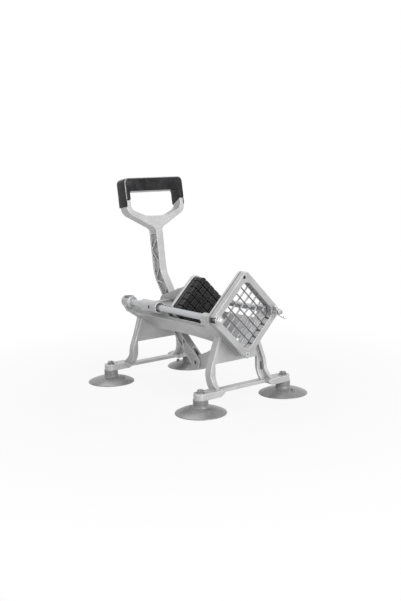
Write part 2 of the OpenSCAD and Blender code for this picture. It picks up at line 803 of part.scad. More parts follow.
// Outside of the grip: slanted along the inner sides of the legs, level along the outer sides
module grip_body() {
    intersection() {
        handle_along_y(grip_depth) handle_ring_outline(0.7);
        union() {
            translate([-80, 0, 0]) rotate([90, 0, 90]) linear_extrude(160) grip_side_view();
            both_sides() translate([handle_half - neck_in, -handle_depth / 2 - 0.6, grip_low - 2])
                cube([neck_in + 1, handle_depth + grip_back + 0.6, 18]);
        }
    }
}

module grip_cover() {
    color([0.1, 0.1, 0.11]) in_handle() difference() {
        intersection() {
            grip_body();
            above_grip_low(0);
        }
        handle_along_y(handle_depth / 2 + fit_gap) handle_ring_outline(-neck_in + fit_gap);
    }
}

// ---------------------------------------------------------------- link

module link() {
    color("silver") difference() {
        union() {
            along_x(-link_t / 2, link_t / 2) {
                translate(pivot_b) circle(r = link_eye_r);
                polygon([pivot_b + [1, 10.3], [-40, 67.6], pivot_d_at + [5, 10.7], pivot_d_at + [-6.5, -9.8],
                    [-48, 44.5], pivot_b + [-1, -10.3]]);
            }
            along_x(-hub_half, hub_half) translate(pivot_d_at) circle(r = link_hub_r);
        }
        translate([-20, pivot_b[0], pivot_b[1]]) rotate([0, 90, 0]) cylinder(d = link_pin_d + 2 * run_gap, h = 40);
        translate([-20, pivot_d_at[0], pivot_d_at[1]]) rotate([0, 90, 0]) cylinder(r = open_eye_r, h = 40);
    }
}

module link_pin() {
    reach = lever_t / 2 - 0.8;
    color("dimgray") translate([-reach, pivot_b[0], pivot_b[1]]) rotate([0, 90, 0])
        cylinder(d = link_pin_d, h = 2 * reach);
}

module link_anchor_pin() {
    reach = lug_x + lug_t;
    color("gainsboro") translate([-reach, pivot_d_at[0], pivot_d_at[1]]) rotate([0, 90, 0]) {
        translate([0, 0, -2]) cylinder(d = link_pin_d + 4, h = 2);
        cylinder(d = link_pin_d, h = 2 * reach);
        translate([0, 0, 2 * reach]) cylinder(d = link_pin_d + 4, h = 2);
    }
}

// ---------------------------------------------------------------- feet

// Half section of a suction cup: ribbed neck, thin dome and a hollow underneath
module cup_section() {
    r = cup_d / 2;
    n = neck_d / 2;
    screw = foot_screw_d / 2 + fit_gap;
    dome = curve([n + 1.5, dome_h], [r - 10, 6.5], [r - 0.6, 1.2]);
    hollow = curve([r - 2.5, 0], [r - 12, 3.6], [0, 4.2]);
    polygon(concat([[screw, 12], [screw, neck_top], [n, neck_top], [n, 18.6], [n - 0.6, 18.2], [n - 0.6, 17.6],
        [n, 17.2], [n, 15], [n - 0.6, 14.6], [n - 0.6, 14], [n, 13.6], [n, 11.5]],
        dome, [[r, 0]], hollow, [[0, 12]]));
}

module cup(sx, sy, tab_angle) {
    color("gray") translate([sx * foot_x / 2, sy * foot_y / 2, 0]) {
        rotate_extrude($fn = 96) cup_section();
        rotate([0, 0, tab_angle]) translate([20.5, -2.5, 4]) cube([4, 5, 7]);
    }
}

module front_left_cup() {
    cup(-1, -1, 60);
}

module front_right_cup() {
    cup(1, -1, -85);
}

module rear_left_cup() {
    cup(-1, 1, -50);
}

module rear_right_cup() {
    cup(1, 1, 120);
}

module at_feet() {
    for (sx = [-1, 1], sy = [-1, 1]) translate([sx * foot_x / 2, sy * foot_y / 2, 0]) children();
}

module foot_screws() {
    color("gainsboro") at_feet() translate([0, 0, 12]) cylinder(d = foot_screw_d, h = pad_top + 5.6 - 12);
}

module foot_nuts() {
    color("dimgray") at_feet() translate([0, 0, pad_top]) difference() {
        union() {
            cylinder(d = 13, h = 1);
            translate([0, 0, 1]) hex(10, 3.6);
        }
        translate([0, 0, -1]) cylinder(d = foot_screw_d + 2 * fit_gap, h = 8);
    }
}

front_stand();
rear_stand();
left_chute();
right_chute();
left_guide_rod();
right_guide_rod();
rod_clamp_screws();
blade_frame();
front_blade(-2);  // front_blade_1
front_blade(-1);  // front_blade_2
front_blade(0);  // front_blade_3
front_blade(1);  // front_blade_4
front_blade(2);  // front_blade_5
rear_blade(-2);  // rear_blade_1
rear_blade(-1);  // rear_blade_2
rear_blade(0);  // rear_blade_3
rear_blade(1);  // rear_blade_4
rear_blade(2);  // rear_blade_5
cap_nut();
wing_nut();
nut_washers();
head_screw();
link_anchor_pin();
carriage();
sleeve_bushes();
sleeve_grub_screws();
pusher_block();
pusher_screws();
lever_pivot_pin();
lever();
grip_cover();
link();
link_pin();
front_left_cup();
front_right_cup();
rear_left_cup();
rear_right_cup();
foot_screws();
foot_nuts();
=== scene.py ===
import math

import bpy
from bpy.props import FloatProperty, FloatVectorProperty, PointerProperty
from mathutils import Matrix, Vector


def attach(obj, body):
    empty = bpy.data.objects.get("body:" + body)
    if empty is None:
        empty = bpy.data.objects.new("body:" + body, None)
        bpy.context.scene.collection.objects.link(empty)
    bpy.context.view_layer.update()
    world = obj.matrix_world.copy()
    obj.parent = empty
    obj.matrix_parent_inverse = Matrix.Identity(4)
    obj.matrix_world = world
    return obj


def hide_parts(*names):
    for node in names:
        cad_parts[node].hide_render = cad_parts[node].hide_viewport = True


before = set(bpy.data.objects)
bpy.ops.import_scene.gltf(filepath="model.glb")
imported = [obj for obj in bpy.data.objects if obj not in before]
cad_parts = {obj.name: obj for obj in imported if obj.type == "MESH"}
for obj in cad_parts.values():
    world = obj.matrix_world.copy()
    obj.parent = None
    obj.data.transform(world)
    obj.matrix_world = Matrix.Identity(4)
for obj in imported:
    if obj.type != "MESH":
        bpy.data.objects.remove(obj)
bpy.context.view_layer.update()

bl_info = {
    "name": "Bench Fry Cutter",
    "version": (1, 0, 0),
    "blender": (4, 5, 0),
    "location": "View3D > Sidebar > Fry Cutter",
    "description": "Dresses the fry cutter with cast, ground and moulded finishes, and sets up its stage",
    "category": "Object",
}

# The CAD nodes, sorted by their finish. The blade frame, foot nuts and screws are named where painted.
CASTINGS = ["front_stand", "rear_stand", "left_chute", "right_chute", "carriage", "lever", "link"]
RODS = ["left_guide_rod", "right_guide_rod"]
BRIGHT = ["nut_washers", "head_screw", "link_anchor_pin", "pusher_screws", "lever_pivot_pin",
    "cap_nut", "wing_nut"]
DARK = ["rod_clamp_screws", "sleeve_grub_screws", "link_pin"]
CUPS = ["front_left_cup", "front_right_cup", "rear_left_cup", "rear_right_cup"]
FRONT_BLADES = ["front_blade_%d" % i for i in range(1, 6)]
REAR_BLADES = ["rear_blade_%d" % i for i in range(1, 6)]

# Places on the stand, in metres from the middle of the cutter, with its front at negative Y.
# The painted shadow line in the joint between head and stand is drawn only above HEAD_JOINT_LOW.
ROD_HEIGHT = 0.1418
ROD_OUT = 0.057
ROD_THREAD_FROM = -0.1225
FOOT_OUT = 0.086
FOOT_ALONG = 0.128
HEAD_JOINT = -0.128
HEAD_JOINT_HALF = 0.0011
HEAD_JOINT_LOW = 0.06

# Threads wound round the rods' front ends. Each ridge is sunk a little into its rod, and its crest
# lies between two shares of the pitch. The list holds the name, side, start and turns of each.
STUD_RADIUS = 0.004
THREAD_SUNK = 0.00002
THREAD_RISE = 0.00028
THREAD_CREST = (0.4, 0.6)
THREADS = [("left_slot_thread", -1, -0.1283, 8), ("right_slot_thread", 1, -0.1283, 8),
    ("right_end_thread", 1, -0.1498, 3)]

# The grip, in the handle's own axes, which start at HANDLE_AT and lean back by HANDLE_LEAN. Its legs
# end at a slant, the finger window is cut through it, and a thin cheek runs down each outer side.
HANDLE_AT = Vector((0.0, 0.1017, 0.262))
HANDLE_LEAN = math.radians(9.4)
GRIP_TOP = (0.3535 - HANDLE_AT.z) / math.cos(HANDLE_LEAN) - 0.0010
GRIP_LOW = 0.043
GRIP_HALF = 0.061
GRIP_FRONT = -0.0128
GRIP_BACK = 0.0146
GRIP_BAR_HEIGHT = 0.0229
END_SLANT = 0.0115
FINGER_HALF = 0.0514
FINGER_CORNER = 0.004
CHEEK_INSIDE = 0.0589
CHEEK_OUTSIDE = GRIP_HALF - 0.0001
CHEEK_FRONT = -0.0109
CHEEK_BACK = GRIP_BACK - 0.0006
CHEEK_RISE = 0.016
CHEEK_ROUND = 0.0008
GLEAM_DEPTH = 0.0008

# How far a cutting block reaches past what it cuts, and how near two points lie to count as one.
OVERSHOOT = 0.01
SAME_PLACE = 0.00001

# The camera that took the photograph: its angles, what it looks at and how far it stands off.
VIEW_AZIMUTH = math.radians(-37.83)
VIEW_HEIGHT = math.radians(9.37)
VIEW_ROLL = math.radians(-1.13)
VIEW_AIM = Vector((0.01692, 0.0, 0.14715))
VIEW_DISTANCE = 1.4461

# How far from its middle the floor starts to turn plain white, and where it is all white.
SHADOW_END = (0.25, 0.6)


# ------------------------------------------------------------------ sizes and colours

class CastingSettings(bpy.types.PropertyGroup):
    colour: FloatVectorProperty(name="Colour", description="Colour of the tumbled cast aluminium",
        subtype="COLOR", size=3, min=0, max=1, default=(0.49, 0.49, 0.495))
    edge_radius: FloatProperty(name="Edge radius",
        description="Rounding that catches the light along cast edges",
        subtype="DISTANCE", unit="LENGTH", min=0, default=0.0014)
    grain_depth: FloatProperty(name="Grain depth", description="Depth of the sandy cast skin",
        subtype="DISTANCE", unit="LENGTH", min=0, default=0.00012)
    roughness: FloatProperty(name="Roughness", description="How matt the tumbled skin is",
        subtype="FACTOR", min=0, max=1, default=0.36)


class SteelSettings(bpy.types.PropertyGroup):
    rod_colour: FloatVectorProperty(name="Rod colour", description="Colour of the ground and plated rods",
        subtype="COLOR", size=3, min=0, max=1, default=(0.52, 0.53, 0.545))
    blade_colour: FloatVectorProperty(name="Blade colour", description="Colour of the stainless blades",
        subtype="COLOR", size=3, min=0, max=1, default=(0.42, 0.42, 0.43))
    bright_colour: FloatVectorProperty(name="Bright plating",
        description="Colour of the bright nuts and pins",
        subtype="COLOR", size=3, min=0, max=1, default=(0.56, 0.56, 0.57))
    zinc_colour: FloatVectorProperty(name="Zinc plating", description="Colour of the nuts on the feet",
        subtype="COLOR", size=3, min=0, max=1, default=(0.24, 0.24, 0.25))
    dark_colour: FloatVectorProperty(name="Dark plating", description="Colour of the dark screws and pin",
        subtype="COLOR", size=3, min=0, max=1, default=(0.10, 0.10, 0.105))
    thread_colour: FloatVectorProperty(name="Thread colour", description="Colour of the wound threads",
        subtype="COLOR", size=3, min=0, max=1, default=(0.42, 0.42, 0.43))
    thread_pitch: FloatProperty(name="Thread pitch", description="Distance from one thread to the next",
        subtype="DISTANCE", unit="LENGTH", min=0.0004, default=0.00125)


class MouldingSettings(bpy.types.PropertyGroup):
    grip_colour: FloatVectorProperty(name="Grip colour", description="Colour of the moulded grip",
        subtype="COLOR", size=3, min=0, max=1, default=(0.012, 0.012, 0.013))
    block_colour: FloatVectorProperty(name="Block colour", description="Colour of the studded pusher block",
        subtype="COLOR", size=3, min=0, max=1, default=(0.014, 0.014, 0.015))
    bush_colour: FloatVectorProperty(name="Bush colour", description="Colour of the bushes in the sleeves",
        subtype="COLOR", size=3, min=0, max=1, default=(0.03, 0.03, 0.032))
    cup_colour: FloatVectorProperty(name="Cup colour", description="Colour of the soft suction cups",
        subtype="COLOR", size=3, min=0, max=1, default=(0.20, 0.20, 0.202))
    grip_radius: FloatProperty(name="Grip radius", description="Rounding along the corners of the grip",
        subtype="DISTANCE", unit="LENGTH", min=0, default=0.0026)
    grip_corner: FloatProperty(name="Grip corner", description="Radius of the grip's two upper corners",
        subtype="DISTANCE", unit="LENGTH", min=0, default=0.0087)


class StageSettings(bpy.types.PropertyGroup):
    floor_colour: FloatVectorProperty(name="Floor colour", description="Colour of the plain floor",
        subtype="COLOR", size=3, min=0, max=1, default=(0.50, 0.50, 0.50))
    floor_glow: FloatProperty(name="Floor lightness",
        description="Share of plain white that the camera sees",
        subtype="FACTOR", min=0, max=1, default=0.90)
    key_power: FloatProperty(name="Key light", description="Power of the large light above the front",
        unit="POWER", min=0, default=44)
    fill_power: FloatProperty(name="Fill light", description="Power of the broad light on the left",
        unit="POWER", min=0, default=4)
    top_power: FloatProperty(name="Top light", description="Power of the light above and behind",
        unit="POWER", min=0, default=26)
    low_power: FloatProperty(name="Low front light",
        description="Power of the low light on the stand's front", unit="POWER", min=0, default=22)
    strip_power: FloatProperty(name="Strip light",
        description="Power of the narrow light that draws edge lines", unit="POWER", min=0, default=6)
    room_light: FloatProperty(name="Room light", description="Strength of the even light of the room",
        min=0, default=0.24)
    lens: FloatProperty(name="Lens", description="Focal length of the camera in millimetres",
        min=20, max=200, default=51.14)


# ------------------------------------------------------------------ node helpers

def feed(tree, socket, value):
    """Gives a socket a link from another node's output, or a plain value."""
    if isinstance(value, bpy.types.NodeSocket):
        tree.links.new(value, socket)
    else:
        socket.default_value = value


def add_node(tree, kind, inputs=(), **settings):
    """One node of a tree, with plain values or links given for its sockets."""
    node = tree.nodes.new(kind)
    for name, value in settings.items():
        setattr(node, name, value)
    for key, value in dict(inputs).items():
        feed(tree, node.inputs[key], value)
    return node


def maths(tree, operation, first, second=0.0):
    """Result of one arithmetic operation on two values."""
    return add_node(tree, "ShaderNodeMath", {0: first, 1: second}, operation=operation).outputs[0]


def remap(tree, value, low, high, to_low, to_high):
    """A value moved from one range into another, and held inside it."""
    return add_node(tree, "ShaderNodeMapRange", {"Value": value, "From Min": low, "From Max": high,
        "To Min": to_low, "To Max": to_high}).outputs["Result"]


def mixed(tree, share, first, second):
    """Blend of two colours. The Mix node's colour sockets are its inputs 6 and 7 and its output 2."""
    return add_node(tree, "ShaderNodeMix", {0: share, 6: first, 7: second}, data_type="RGBA").outputs[2]


def laid_over(tree, under, colour, mask, strength):
    """A colour laid over another one where a mask is, as strongly as given."""
    return mixed(tree, maths(tree, "MULTIPLY", mask, strength), under, colour)


def shade(colour, factor):
    """A colour made darker or lighter, with full alpha."""
    return (*[min(1.0, channel * factor) for channel in colour], 1.0)


def new_group(name, inputs, outputs):
    """An empty shader group with named sockets, returned with its two end nodes."""
    group = bpy.data.node_groups.new(name, "ShaderNodeTree")
    for label, kind, value in inputs:
        socket = group.interface.new_socket(name=label, in_out="INPUT", socket_type=kind)
        if value is not None:
            socket.default_value = value
    for label, kind in outputs:
        group.interface.new_socket(name=label, in_out="OUTPUT", socket_type=kind)
    return group, group.nodes.new("NodeGroupInput").outputs, group.nodes.new("NodeGroupOutput").inputs


def soft_edge_group():
    """Rounds the light over hard edges and marks where the edges are."""
    group, given, out = new_group("Soft Edge", [("Radius", "NodeSocketFloat", 0.001)],
        [("Normal", "NodeSocketVector"), ("Edge", "NodeSocketFloat")])
    rounded = add_node(group, "ShaderNodeBevel", {"Radius": given["Radius"]}, samples=8)
    flat = add_node(group, "ShaderNodeNewGeometry")
    along = add_node(group, "ShaderNodeVectorMath", {0: rounded.outputs[0], 1: flat.outputs["Normal"]},
        operation="DOT_PRODUCT")
    group.links.new(rounded.outputs[0], out["Normal"])
    group.links.new(remap(group, along.outputs["Value"], 0.93, 0.80, 0.0, 1.0), out["Edge"])
    return group


def recess_shade_group():
    """Painted shade: a mask of nooks and inner corners, where shade falls, that darkens the colour there.
    """
    group, given, out = new_group("Recess Shade", [("Reach", "NodeSocketFloat", 0.008)],
        [("Recess Shade", "NodeSocketFloat")])
    open_sky = add_node(group, "ShaderNodeAmbientOcclusion", {"Distance": given["Reach"]}, samples=8,
        only_local=True)
    group.links.new(remap(group, open_sky.outputs["AO"], 0.30, 0.92, 1.0, 0.0), out["Recess Shade"])
    return group


def joint_shadow_group():
    """Painted shadow: a dark line in the gap where two castings meet across one plane."""
    group, given, out = new_group("Joint Shadow",
        [("Along", "NodeSocketFloat", 0.0), ("Place", "NodeSocketFloat", 0.0),
        ("Width", "NodeSocketFloat", 0.0006)], [("Line", "NodeSocketFloat")])
    away = maths(group, "ABSOLUTE", maths(group, "SUBTRACT", given["Along"], given["Place"]))
    group.links.new(maths(group, "LESS_THAN", away, given["Width"]), out["Line"])
    return group


def cast_grain_group():
    """Sandy skin of a tumbled casting: fine pits, and slow drifts from light to dark."""
    group, given, out = new_group("Cast Grain",
        [("Vector", "NodeSocketVector", None), ("Size", "NodeSocketFloat", 900.0)],
        [("Height", "NodeSocketFloat"), ("Drift", "NodeSocketFloat")])
    fine = add_node(group, "ShaderNodeTexNoise",
        {"Vector": given["Vector"], "Scale": given["Size"], "Detail": 3.0, "Roughness": 0.6})
    pits = add_node(group, "ShaderNodeTexVoronoi",
        {"Vector": given["Vector"], "Scale": maths(group, "MULTIPLY", given["Size"], 0.55)})
    slow = add_node(group, "ShaderNodeTexNoise",
        {"Vector": given["Vector"], "Scale": maths(group, "MULTIPLY", given["Size"], 0.035), "Detail": 4.0})
    pit = remap(group, pits.outputs["Distance"], 0.05, 0.4, 0.0, 1.0)
    height = maths(group, "ADD", fine.outputs[0], maths(group, "MULTIPLY", pit, 0.35))
    group.links.new(height, out["Height"])
    group.links.new(remap(group, slow.outputs[0], 0.3, 0.7, 0.0, 1.0), out["Drift"])
    return group


def rub_marks_group():
    """Fine marks drawn out along one way, as grinding and wiping leave them."""
    group, given, out = new_group("Rub Marks",
        [("Vector", "NodeSocketVector", None), ("Density", "NodeSocketFloat", 300.0)],
        [("Marks", "NodeSocketFloat")])
    lines = add_node(group, "ShaderNodeTexNoise",
        {"Vector": given["Vector"], "Scale": given["Density"], "Detail": 5.0, "Roughness": 0.7})
    group.links.new(remap(group, lines.outputs[0], 0.35, 0.65, 0.0, 1.0), out["Marks"])
    return group


def screw_thread_group():
    """Height of a screw thread that winds round an axis."""
    group, given, out = new_group("Screw Thread",
        [("Along", "NodeSocketFloat", 0.0), ("Side", "NodeSocketFloat", 0.0),
        ("Up", "NodeSocketFloat", 0.0), ("Pitch", "NodeSocketFloat", 0.00125)],
        [("Height", "NodeSocketFloat")])
    turn = maths(group, "DIVIDE", maths(group, "ARCTAN2", given["Side"], given["Up"]), 2 * math.pi)
    turns = maths(group, "ADD", maths(group, "DIVIDE", given["Along"], given["Pitch"]), turn)
    group.links.new(maths(group, "PINGPONG", turns, 0.5), out["Height"])
    return group


def bloom_group():
    """Light bloom that soft rubber and moulded plastic carry."""
    group, given, out = new_group("Bloom",
        [("Vector", "NodeSocketVector", None), ("Size", "NodeSocketFloat", 60.0)],
        [("Bloom", "NodeSocketFloat"), ("Speckle", "NodeSocketFloat")])
    cloud = add_node(group, "ShaderNodeTexNoise",
        {"Vector": given["Vector"], "Scale": given["Size"], "Detail": 6.0, "Roughness": 0.65})
    speck = add_node(group, "ShaderNodeTexNoise",
        {"Vector": given["Vector"], "Scale": maths(group, "MULTIPLY", given["Size"], 24.0), "Detail": 2.0})
    group.links.new(remap(group, cloud.outputs[0], 0.38, 0.7, 0.0, 1.0), out["Bloom"])
    group.links.new(speck.outputs[0], out["Speckle"])
    return group


def corner_gleam_group():
    """Painted highlight: marks a light line along the grip's rounded corners, from a place in the handle's
    own axes.
    """
    group, given, out = new_group("Corner Gleam",
        [("Vector", "NodeSocketVector", None), ("Half", "NodeSocketFloat", GRIP_HALF),
        ("Top", "NodeSocketFloat", GRIP_TOP), ("Corner", "NodeSocketFloat", 0.0087),
        ("Front", "NodeSocketFloat", GRIP_FRONT), ("Back", "NodeSocketFloat", GRIP_BACK)],
        [("Gleam", "NodeSocketFloat")])
    axes = add_node(group, "ShaderNodeSeparateXYZ", {0: given["Vector"]}).outputs
    straight = maths(group, "SUBTRACT", given["Half"], given["Corner"])
    shoulder = maths(group, "SUBTRACT", given["Top"], given["Corner"])
    past_straight = maths(group, "SUBTRACT", maths(group, "ABSOLUTE", axes["X"]), straight)
    past_shoulder = maths(group, "SUBTRACT", axes["Z"], shoulder)
    flat = add_node(group, "ShaderNodeCombineXYZ", {"X": maths(group, "MAXIMUM", past_straight, 0.0),
        "Y": maths(group, "MAXIMUM", past_shoulder, 0.0), "Z": 0.0}).outputs[0]
    reach = add_node(group, "ShaderNodeVectorMath", {0: flat}, operation="LENGTH").outputs["Value"]
    inward = maths(group, "SUBTRACT", given["Corner"], reach)
    depth = maths(group, "MINIMUM", maths(group, "SUBTRACT", axes["Y"], given["Front"]),
        maths(group, "SUBTRACT", given["Back"], axes["Y"]))
    near = add_node(group, "ShaderNodeCombineXYZ", {"X": maths(group, "SUBTRACT", inward, GLEAM_DEPTH),
        "Y": maths(group, "SUBTRACT", depth, GLEAM_DEPTH), "Z": 0.0}).outputs[0]
    off = add_node(group, "ShaderNodeVectorMath", {0: near}, operation="LENGTH").outputs["Value"]
    group.links.new(remap(group, off, 0.0004, 0.0011, 1.0, 0.0), out["Gleam"])
    return group


def group_node(tree, name, inputs):
    """Outputs of one of the shared groups, placed in a tree with its own values."""
    return add_node(tree, "ShaderNodeGroup", inputs, node_tree=bpy.data.node_groups[name]).outputs


def new_material(name, metallic, specular=0.5):
    """A material with one shader, its tree, and the object coordinates that its patterns read."""
    material = bpy.data.materials.new(name)
    material.use_nodes = True
    tree = material.node_tree
    shader = tree.nodes["Principled BSDF"]
    shader.inputs["Metallic"].default_value = metallic
    shader.inputs["Specular IOR Level"].default_value = specular
    return material, tree, shader, tree.nodes.new("ShaderNodeTexCoord").outputs["Object"]


def stretched(tree, place, scale, turn=(0.0, 0.0, 0.0)):
    """Coordinates scaled and turned, so that a pattern on them runs along one way."""
    return add_node(tree, "ShaderNodeMapping",
        {"Vector": place, "Scale": scale, "Rotation": turn}).outputs[0]


def finish_surface(tree, shader, colour, roughness, height, depth, normal):
    """Links a colour, a roughness and a relief to the shader."""
    relief = add_node(tree, "ShaderNodeBump", {"Height": height, "Strength": 1.0, "Distance": depth,
        "Normal": normal})
    tree.links.new(colour, shader.inputs["Base Color"])
    tree.links.new(roughness, shader.inputs["Roughness"])
    tree.links.new(relief.outputs[0], shader.inputs["Normal"])


def paint(names, material):
    """Gives the named CAD nodes one material."""
    for name in names:
        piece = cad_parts[name]
        if not piece.material_slots:
            piece.data.materials.append(material)
        for slot in piece.material_slots:
            slot.material = material


# ------------------------------------------------------------------ materials

def cast_aluminium(name, tone):
    """Tumbled casting: grained, with painted shade in its nooks, a painted shadow line at the head's joint
    and a painted highlight along its edges.
    """
    look = bpy.context.scene.fry_casting
    colour = [channel * tone for channel in look.colour]
    material, tree, shader, place = new_material(name, 0.22)
    grain = group_node(tree, "Cast Grain", {"Vector": place, "Size": 900.0})
    edge = group_node(tree, "Soft Edge", {"Radius": look.edge_radius})
    drawn = stretched(tree, place, (0.4, 1.0, 2.4))
    wiped = group_node(tree, "Rub Marks", {"Vector": drawn, "Density": 160.0})
    skin = mixed(tree, grain["Drift"], shade(colour, 0.88), shade(colour, 1.10))
    skin = mixed(tree, remap(tree, grain["Height"], 0.35, 0.95, 0.35, 0.0), skin, shade(colour, 0.55))
    nook = group_node(tree, "Recess Shade", {"Reach": 0.009})
    axes = add_node(tree, "ShaderNodeSeparateXYZ", {0: place}).outputs
    joint = group_node(tree, "Joint Shadow", {"Along": axes["Y"], "Place": HEAD_JOINT,
        "Width": HEAD_JOINT_HALF})
    # Painted shade: nooks and inner corners darkened towards 0.3 of the colour.
    skin = laid_over(tree, skin, shade(colour, 0.30), nook["Recess Shade"], 0.72)
    # Painted highlight: edges lightened towards 1.95 times the colour.
    skin = laid_over(tree, skin, shade(colour, 1.95), edge["Edge"], 0.9)
    # Painted shadow: a dark line in the gap where the head meets the stand, above HEAD_JOINT_LOW.
    at_head = maths(tree, "GREATER_THAN", axes["Z"], HEAD_JOINT_LOW)
    head_joint_shadow = maths(tree, "MULTIPLY", joint["Line"], at_head)
    skin = laid_over(tree, skin, shade(colour, 0.12), head_joint_shadow, 0.85)
    rubbed = remap(tree, wiped["Marks"], 0, 1, look.roughness - 0.05, look.roughness + 0.07)
    rough = maths(tree, "ADD", rubbed, maths(tree, "MULTIPLY", edge["Edge"], -0.12))
    finish_surface(tree, shader, skin, rough, grain["Height"], look.grain_depth, edge["Normal"])
    return material


def plated_rod():
    """Ground and plated rod, with its thread as relief and painted shade in the thread's valleys on the
    front end.
    """
    look = bpy.context.scene.fry_steel
    material, tree, shader, place = new_material("Plated rod", 0.5)
    marks = group_node(tree, "Rub Marks", {"Vector": stretched(tree, place, (1, 12, 1)), "Density": 220.0})
    edge = group_node(tree, "Soft Edge", {"Radius": 0.0004})
    axes = add_node(tree, "ShaderNodeSeparateXYZ", {0: place}).outputs
    side = maths(tree, "SUBTRACT", maths(tree, "ABSOLUTE", axes["X"]), ROD_OUT)
    thread = group_node(tree, "Screw Thread", {"Along": axes["Y"], "Side": side,
        "Up": maths(tree, "SUBTRACT", axes["Z"], ROD_HEIGHT), "Pitch": look.thread_pitch})
    cut = maths(tree, "LESS_THAN", axes["Y"], ROD_THREAD_FROM)
    height = maths(tree, "ADD", maths(tree, "MULTIPLY", marks["Marks"], 0.01),
        maths(tree, "MULTIPLY", thread["Height"], maths(tree, "MULTIPLY", cut, 2.0)))
    steel = mixed(tree, marks["Marks"], shade(look.rod_colour, 0.92), shade(look.rod_colour, 1.06))
    # Painted shade: the thread's valleys darkened towards a quarter of the rod colour.
    valley_shade = maths(tree, "MULTIPLY", cut, remap(tree, thread["Height"], 0.0, 0.35, 1.0, 0.0))
    steel = laid_over(tree, steel, shade(look.rod_colour, 0.25), valley_shade, 0.7)
    rough = remap(tree, marks["Marks"], 0, 1, 0.14, 0.26)
    finish_surface(tree, shader, steel, rough, height, 0.0006, edge["Normal"])
    return material


def ground_blade(name, colour, turn):
    """Blade steel, ground along its length, which leans by the given turn, with a painted highlight along
    its edges.
    """
    material, tree, shader, place = new_material(name, 0.9)
    drawn = stretched(tree, place, (14.0, 3.0, 0.5), (0.0, turn, 0.0))
    marks = group_node(tree, "Rub Marks", {"Vector": drawn, "Density": 260.0})
    edge = group_node(tree, "Soft Edge", {"Radius": 0.0002})
    steel = mixed(tree, marks["Marks"], shade(colour, 0.85), shade(colour, 1.15))
    # Painted highlight: edges lightened towards 1.8 times the colour.
    steel = laid_over(tree, steel, shade(colour, 1.8), edge["Edge"], 0.5)
    rough = remap(tree, marks["Marks"], 0, 1, 0.22, 0.38)
    finish_surface(tree, shader, steel, rough, marks["Marks"], 0.00002, edge["Normal"])
    return material


def plated_hardware(name, colour, roughness):
    """Plated nut, screw or pin, with painted shade in its recesses and a painted highlight along its edges.
    """
    material, tree, shader, place = new_material(name, 0.65)
    grain = group_node(tree, "Cast Grain", {"Vector": place, "Size": 700.0})
    edge = group_node(tree, "Soft Edge", {"Radius": 0.0005})
    metal = mixed(tree, grain["Drift"], shade(colour, 0.88), shade(colour, 1.08))
    nook = group_node(tree, "Recess Shade", {"Reach": 0.003})
    # Painted shade: recesses darkened towards 0.15 of the colour.
    metal = laid_over(tree, metal, shade(colour, 0.15), nook["Recess Shade"], 0.8)
    # Painted highlight: edges lightened towards 2.4 times the colour.
    metal = laid_over(tree, metal, shade(colour, 2.4), edge["Edge"], 0.85)
    rough = remap(tree, grain["Drift"], 0, 1, roughness, roughness + 0.1)
    finish_surface(tree, shader, metal, rough, grain["Height"], 0.00003, edge["Normal"])
    return material


def threaded_foot_screw():
    """Steel of the four upright foot screws, with their thread as relief and painted shade in its valleys.
    """
    look = bpy.context.scene.fry_steel
    material, tree, shader, place = new_material("Foot screw steel", 0.95)
    axes = add_node(tree, "ShaderNodeSeparateXYZ", {0: place}).outputs
    from_screw_x = maths(tree, "SUBTRACT", maths(tree, "ABSOLUTE", axes["X"]), FOOT_OUT)
    from_screw_y = maths(tree, "SUBTRACT", maths(tree, "ABSOLUTE", axes["Y"]), FOOT_ALONG)
    thread = group_node(tree, "Screw Thread", {"Along": axes["Z"], "Side": from_screw_x,
        "Up": from_screw_y, "Pitch": look.thread_pitch})
    edge = group_node(tree, "Soft Edge", {"Radius": 0.0004})
    # Painted shade: the thread's valleys darkened towards 0.3 of the rod colour.
    steel = mixed(tree, remap(tree, thread["Height"], 0.0, 0.4, 0.8, 0.0), shade(look.rod_colour, 1.0),
        shade(look.rod_colour, 0.3))
    rough = remap(tree, thread["Height"], 0, 0.5, 0.4, 0.2)
    finish_surface(tree, shader, steel, rough, thread["Height"], 0.0012, edge["Normal"])
    return material


def moulded_black(name, colour, radius, gloss, relief, shine):
    """Black moulding, with a light bloom, painted shade in its nooks, and a painted highlight in the grey
    of its shine along its edges.
    """
    material, tree, shader, place = new_material(name, 0.0, specular=0.25)
    bloom = group_node(tree, "Bloom", {"Vector": place, "Size": 70.0})
    edge = group_node(tree, "Soft Edge", {"Radius": radius})
    plastic = mixed(tree, bloom["Bloom"], shade(colour, 0.8), shade(colour, 1.6))
    nook = group_node(tree, "Recess Shade", {"Reach": 0.004})
    # Painted shade: nooks darkened towards 0.3 of the colour.
    plastic = laid_over(tree, plastic, shade(colour, 0.3), nook["Recess Shade"], 0.7)
    # Painted highlight: edges lightened towards the grey given as shine.
    plastic = laid_over(tree, plastic, (shine, shine, shine, 1.0), edge["Edge"], 0.8)
    rough = maths(tree, "ADD", remap(tree, bloom["Bloom"], 0, 1, gloss, gloss + 0.14),
        maths(tree, "MULTIPLY", edge["Edge"], -0.05))
    finish_surface(tree, shader, plastic, rough, bloom["Speckle"], relief, edge["Normal"])
    return material


